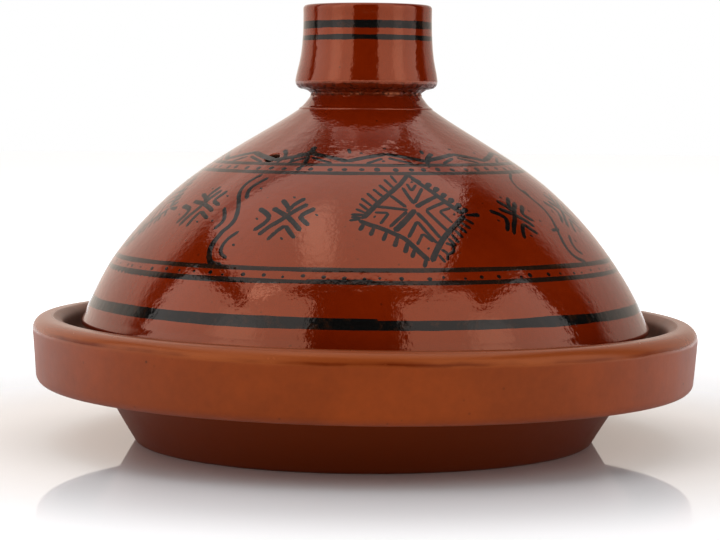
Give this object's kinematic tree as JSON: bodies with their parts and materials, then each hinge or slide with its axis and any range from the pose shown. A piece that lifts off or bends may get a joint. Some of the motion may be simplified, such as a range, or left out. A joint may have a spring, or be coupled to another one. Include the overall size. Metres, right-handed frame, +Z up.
{
  "type": "tagine pot",
  "caption": "Glazed earthenware tagine: broad dish with an upright rim band and a domed lid with a hollow grip, steam hole and black hand-painted bands that lifts off.",
  "frame": {"origin": "centre of the dish's foot, on the surface the pot stands on", "axes": "+Z up the wheel axis through the grip; the steam hole is to the front left, towards -X and -Y"},
  "size_m": [0.2998, 0.2998, 0.1962],
  "materials": {
    "gloss_glazed_clay": "thrown red earthenware under a wet-looking clear lead-free glaze, deep red brown",
    "rim_glazed_clay": "satin terracotta, thinly glazed on the rim and inside, duller and darker under the bowl",
    "black_slip": "black slip brushed by hand under the clear glaze"
  },
  "bodies": {
    "dish": {"base_dish": "rim_glazed_clay"},
    "lid": {"lid_cone": "gloss_glazed_clay", "luting_coil": "gloss_glazed_clay", "lid_knob": "gloss_glazed_clay"}
  },
  "joints": [
    {"name": "lid_lift", "type": "slide", "parent": "dish", "child": "lid", "axis": [0, 0, 1], "range_m": [0, 0.15]}
  ]
}
